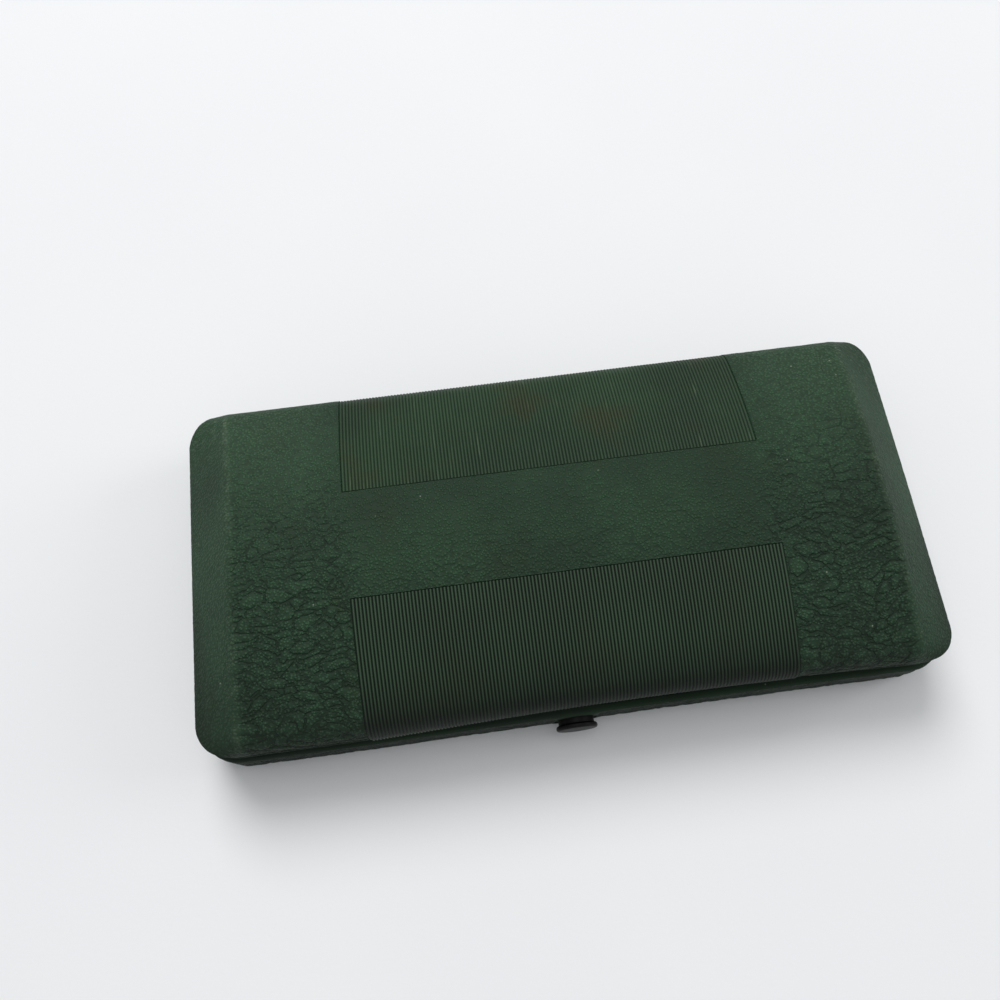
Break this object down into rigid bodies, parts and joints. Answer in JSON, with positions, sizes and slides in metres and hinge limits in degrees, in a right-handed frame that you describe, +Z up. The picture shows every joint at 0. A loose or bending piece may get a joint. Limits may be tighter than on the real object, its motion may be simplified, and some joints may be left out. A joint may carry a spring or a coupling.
{
  "type": "attachment box",
  "caption": "Flat moulded box with an arched ribbed lid on two hinges, a divided tray inside and a push-button catch, for sewing machine attachments.",
  "frame": {"origin": "middle of the underside, on the surface that the box stands on", "axes": "+X along the length, -Y towards the push button, +Z up"},
  "size_m": [0.1794, 0.0906, 0.0338],
  "materials": {
    "shell": "moulded leather grain and ribs, satin",
    "tray": "plain moulded, satin",
    "tin": "tinned sheet",
    "felt": "pressed felt",
    "hinge_steel": "nickelled, dulled",
    "pin_steel": "bright drawn",
    "rivet": "nickelled, dulled",
    "spring_steel": "blued spring steel",
    "button": "gloss, worn on top"
  },
  "bodies": {
    "base": {"base_shell": "shell", "compartment_tray": "tray", "long_divider": "tin", "rear_cross_divider": "tin", "front_left_divider": "tin", "front_right_divider": "tin", "bobbin_rack": "tray", "tray_felt_pads": "felt", "left_hinge_base_leaf": "hinge_steel", "right_hinge_base_leaf": "hinge_steel", "left_hinge_pin": "pin_steel", "right_hinge_pin": "pin_steel", "base_hinge_rivets": "rivet", "latch_strip": "spring_steel", "latch_screws": "pin_steel"},
    "lid": {"lid_shell": "shell", "lid_lining": "felt", "left_hinge_lid_leaf": "hinge_steel", "right_hinge_lid_leaf": "hinge_steel", "lid_hinge_rivets": "rivet", "lid_keeper": "hinge_steel", "keeper_drive_pins": "rivet"},
    "button": {"push_button": "button", "button_stem": "pin_steel"}
  },
  "joints": [
    {"name": "lid_hinge", "type": "hinge", "parent": "base", "child": "lid", "pos_m": [0, 0.0437, 0.01335], "axis": [-1, 0, 0], "range_deg": [0, 165]},
    {"name": "button_press", "type": "slide", "parent": "base", "child": "button", "axis": [0, 1, 0], "range_m": [0, 0.0014], "stiffness_N_per_m": 1800, "deforming": ["latch_strip"]}
  ]
}
